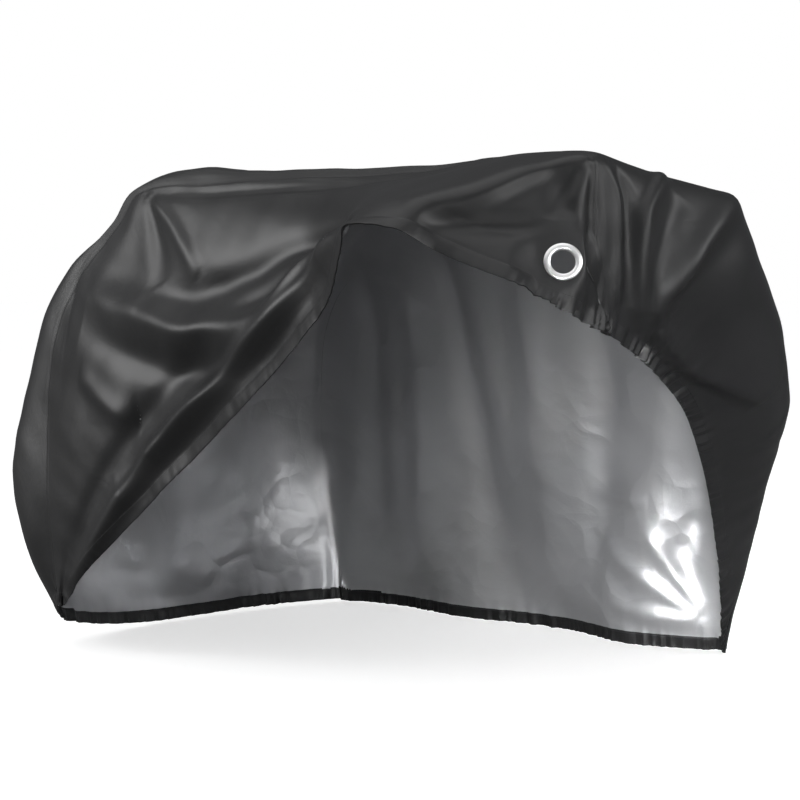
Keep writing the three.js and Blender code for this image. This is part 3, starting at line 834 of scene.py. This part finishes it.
def black_outside():
    """Black face of the cloth: satin, with a fine weave, faint crinkles and sunk stitch lines."""
    material, tree, output = new_material("black_outside")
    place = node(tree, "TexCoord").outputs["Object"]
    hem = node(tree, "UVMap", uv_map="from_hem").outputs[0]
    seam = node(tree, "UVMap", uv_map="from_seam").outputs[0]
    weave = effect(tree, WEAVE, {"Place": seam, "Thread": 0.0007})
    crinkle = effect(tree, CRINKLE, {"Place": place, "Scale": 13.0, "Sharpness": 0.8})
    fine = effect(tree, CRINKLE, {"Place": place, "Scale": 46.0, "Sharpness": 1.0})
    hem_stitch = effect(tree, STITCHES, {"Place": hem})
    seam_stitch = effect(tree, STITCHES, {"Place": seam, "From Edge": 0.005})
    thread = maths(tree, "MAXIMUM", hem_stitch["Mask"], seam_stitch["Mask"])
    cloth = node(tree, "Mix", {0: crinkle["Patches"], 6: BLACK, 7: BLACK_WORN}, data_type="RGBA").outputs[2]
    colour = node(tree, "Mix", {0: thread, 6: cloth, 7: THREAD_BLACK}, data_type="RGBA").outputs[2]
    rough = node(tree, "MapRange", {"Value": fine["Patches"], "To Min": 0.40, "To Max": 0.47}).outputs[0]
    normal = bump(tree, weave["Height"], 0.0001, 0.25)
    normal = bump(tree, crinkle["Height"], 0.0015, 0.35, normal)
    normal = bump(tree, fine["Height"], 0.0004, 0.3, normal)
    normal = bump(tree, thread, 0.0005, 0.8, normal)
    surface = node(
        tree, "BsdfPrincipled",
        {"Base Color": colour, "Roughness": rough, "Normal": normal, "Specular IOR Level": 0.4},
    )
    tree.links.new(surface.outputs[0], output.inputs["Surface"])
    return material


def silver_inside():
    """Silver coating of the cloth's inner face: soft metal sheen over crumpled creases."""
    material, tree, output = new_material("silver_inside")
    place = node(tree, "TexCoord").outputs["Object"]
    seam = node(tree, "UVMap", uv_map="from_seam").outputs[0]
    weave = effect(tree, WEAVE, {"Place": seam, "Thread": 0.0007})
    crumple = effect(tree, CRUMPLE, {"Place": place, "Scale": 7.0, "Bend": 0.16})
    fine = effect(tree, CRINKLE, {"Place": place, "Scale": 24.0, "Sharpness": 1.0})
    uneven = maths(tree, "MULTIPLY_ADD", fine["Patches"], 0.8, 0.2)
    amount = maths(tree, "MULTIPLY", crumple["Height"], uneven)
    colour = node(tree, "Mix", {0: fine["Patches"], 6: SILVER, 7: SILVER_DULL}, data_type="RGBA").outputs[2]
    rough = node(tree, "MapRange", {"Value": fine["Patches"], "To Min": 0.30, "To Max": 0.40}).outputs[0]
    normal = bump(tree, weave["Height"], 0.0001, 0.2)
    normal = bump(tree, amount, 0.014, 0.6, normal)
    normal = bump(tree, fine["Height"], 0.0014, 0.4, normal)
    surface = node(
        tree, "BsdfPrincipled",
        {"Base Color": colour, "Roughness": rough, "Normal": normal, "Metallic": 0.6},
    )
    tree.links.new(surface.outputs[0], output.inputs["Surface"])
    return material


BLACK_OUTSIDE = black_outside()
SILVER_INSIDE = silver_inside()


def finish_panel(panel, node_name):
    panel.data.materials.append(BLACK_OUTSIDE)
    panel.data.materials.append(SILVER_INSIDE)
    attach(panel, "root")
    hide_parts(node_name)


def side_panel(name, node_name, hem_column, seam_column, steps):
    """A side panel from its hem to its seam."""
    stations, columns, from_seam = side_grid(hem_column, seam_column, steps)
    lengths = arc_lengths(bare_cloth(stations, columns), 0)
    if hem_column > seam_column:
        stations, columns = stations[:, ::-1], columns[:, ::-1]
        from_seam, lengths = from_seam[:, ::-1], lengths[:, ::-1]
    points, normals, along, from_hem = hang(stations, columns, swell(from_seam, SEAM_LAP, SEAM_SWELL))
    maps = {"from_hem": (along, from_hem), "from_seam": (lengths, from_seam)}
    kept = [np.flatnonzero(from_seam[0] >= 0)] * len(columns)
    panel = cloth_object(name, points, normals, hem_thickness(from_hem), kept, maps, from_hem)
    finish_panel(panel, node_name)
    return panel


near_panel = side_panel("near_side_cloth", "near_side_panel", 0, NEAR_SEAM_COLUMN, NEAR_STEPS)
far_panel = side_panel("far_side_cloth", "far_side_panel", FAR_HEM_COLUMN, FAR_SEAM_COLUMN, FAR_STEPS)


def gusset_grid():
    """Stations, columns and lengths of the gusset's points, closest at its hems and its front."""
    stations = np.linspace(0, 100, GUSSET_STATIONS)
    rows, columns = np.meshgrid(stations, np.linspace(*GUSSET_REACH, GUSSET_SAMPLES), indexing="ij")
    lengths = arc_lengths(bare_cloth(rows, columns), 1)
    near = stepped(np.full((GUSSET_STATIONS, 1), NEAR_SEAM_COLUMN), columns, lengths)
    far = stepped(np.full((GUSSET_STATIONS, 1), FAR_SEAM_COLUMN), columns, lengths)
    steps = np.array(SEAM_STEPS)
    share = np.linspace(0, 1, 2 * GUSSET_STEPS - 2 * len(steps) + 3)[None, 1:-1] ** NEAR_BIAS
    first, last = near + steps[-1], far - steps[-1]
    wanted = np.concatenate([near + steps, first + (last - first) * share, far - steps[::-1]], axis=1)
    columns = stepped(wanted, lengths, columns)
    from_near, from_far = wanted - near, far - wanted
    rows = np.repeat(stations[:, None], columns.shape[1], 1)
    lengths = arc_lengths(bare_cloth(rows, columns), 0)
    band = np.array(HEM_STEPS, float)
    density = np.where(stations > FRONT_FROM, FRONT_DENSITY, 1.0)
    pace = np.concatenate([[0], np.cumsum(np.diff(lengths.mean(1)) * density[1:])])
    even = np.linspace(0, 1, GUSSET_ROWS - 2 * len(band) + 3)[1:-1]
    middle = np.interp(even, pace / pace[-1], stations)
    spread = np.stack([np.interp(middle, stations, line) for line in lengths.T])
    total = lengths[-1][:, None]
    low, high = spread[:, :1], spread[:, -1:]
    spread = band[-1] + (spread - low) / (high - low) * (total - 2 * band[-1])
    step = (total - 2 * band[-1]) / (GUSSET_ROWS - 2 * len(band) + 2)
    inner = np.linspace(0, 1, spread.shape[1])
    spread = spread + step * 0.5 * (1 - 2 * inner)
    wanted = np.concatenate([np.repeat(band[None], len(spread), 0), spread, total - band[::-1]], axis=1)
    stations = stepped(wanted, lengths.T, rows.T).T
    placed = (stepped(wanted, lengths.T, table.T).T for table in (columns, from_near, from_far))
    columns, from_near, from_far = placed
    return stations, columns, wanted.T, from_near, from_far


stations, columns, from_rear, from_near, from_far = gusset_grid()
from_seam = np.minimum(from_near, from_far)
under = -SEAM_STEP * (1 - smooth(from_seam / SEAM_FADE))
points, normals, along, from_hem = hang(stations, columns, under)
band_rows = len(HEM_STEPS)
fine, coarse = np.arange(columns.shape[1]), np.arange(0, columns.shape[1], 2)
fine_rows = [i < band_rows or i >= len(columns) - band_rows - GATHERED_ROWS for i in range(len(columns))]
kept = [fine if is_fine else coarse for is_fine in fine_rows]
maps = {"from_hem": (along, from_hem), "from_seam": (from_rear, from_seam + SEAM_UNSTITCHED)}
gusset = cloth_object("top_gusset_cloth", points, normals, hem_thickness(from_hem), kept, maps, from_hem)
finish_panel(gusset, "top_gusset")

# ---------------------------------------------------------------------------------------------
# Lock eyelet: two pressed rings of bright plated metal, a domed one outside and a flat washer
# inside, closed on each other through the cloth of the near panel.
# ---------------------------------------------------------------------------------------------
EYELET_TURNS = 96
PRESSED_EDGE = math.radians(40)
EYELET_SECTION = [
    (19.0, -2.9), (27.2, -2.9), (27.8, -2.6), (28.0, -2.2), (27.6, -1.9), (21.4, -1.9),
    (21.0, -1.6), (21.0, 0.1), (21.4, 0.4), (29.2, 0.4), (29.8, 0.6), (30.0, 1.1), (29.6, 1.8),
    (28.6, 2.5), (27.0, 3.1), (25.2, 3.4), (23.4, 3.4), (21.6, 3.2), (20.2, 2.7), (19.3, 1.9),
    (19.0, 0.9),
]
METAL_BRIGHT = (0.98, 0.98, 0.975, 1)
METAL_DULLED = (0.92, 0.92, 0.92, 1)


def bright_metal():
    """Bright plated metal with faint polishing marks and a little dulling."""
    material, tree, output = new_material("bright_eyelet_metal")
    place = node(tree, "TexCoord").outputs["Object"]
    wear = effect(tree, CRINKLE, {"Place": place, "Scale": 60.0, "Sharpness": 1.0})
    shades = {0: wear["Patches"], 6: METAL_BRIGHT, 7: METAL_DULLED}
    colour = node(tree, "Mix", shades, data_type="RGBA").outputs[2]
    rough = node(tree, "MapRange", {"Value": wear["Height"], "To Min": 0.34, "To Max": 0.5}).outputs[0]
    normal = bump(tree, wear["Height"], 0.0002, 0.25)
    surface = node(
        tree, "BsdfPrincipled", {"Base Color": colour, "Roughness": rough, "Normal": normal, "Metallic": 1.0}
    )
    tree.links.new(surface.outputs[0], output.inputs["Surface"])
    return material


def turned_ring(name, section, turns):
    """A closed ring turned about +Z from its section of radius and height."""
    angles = np.arange(turns) * 2 * math.pi / turns
    places = [(r * math.cos(a) * MM, r * math.sin(a) * MM, h * MM) for a in angles for r, h in section]
    size = len(section)
    faces = []
    for k in range(turns):
        here, following = k * size, (k + 1) % turns * size
        for j in range(size):
            ahead = (j + 1) % size
            faces.append((here + j, following + j, following + ahead, here + ahead))
    mesh = bpy.data.meshes.new(name)
    mesh.from_pydata(places, [], faces)
    mesh.polygons.foreach_set("use_smooth", [True] * len(faces))
    mesh.set_sharp_from_angle(angle=PRESSED_EDGE)
    made = bpy.data.objects.new(name, mesh)
    scene.collection.objects.link(made)
    return made


eyelet = turned_ring("lock_eyelet_ring", EYELET_SECTION, EYELET_TURNS)
turn = Vector((0, 0, 1)).rotation_difference(Vector(EYELET_FACES)).to_matrix().to_4x4()
eyelet.data.transform(Matrix.Translation(Vector(EYELET_AT * MM)) @ turn)
eyelet.data.materials.append(bright_metal())
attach(eyelet, "root")
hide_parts("lock_eyelet")

for piece in (near_panel, gusset, far_panel, eyelet):
    print(piece.name, sum(len(p.vertices) - 2 for p in piece.data.polygons), "triangles")
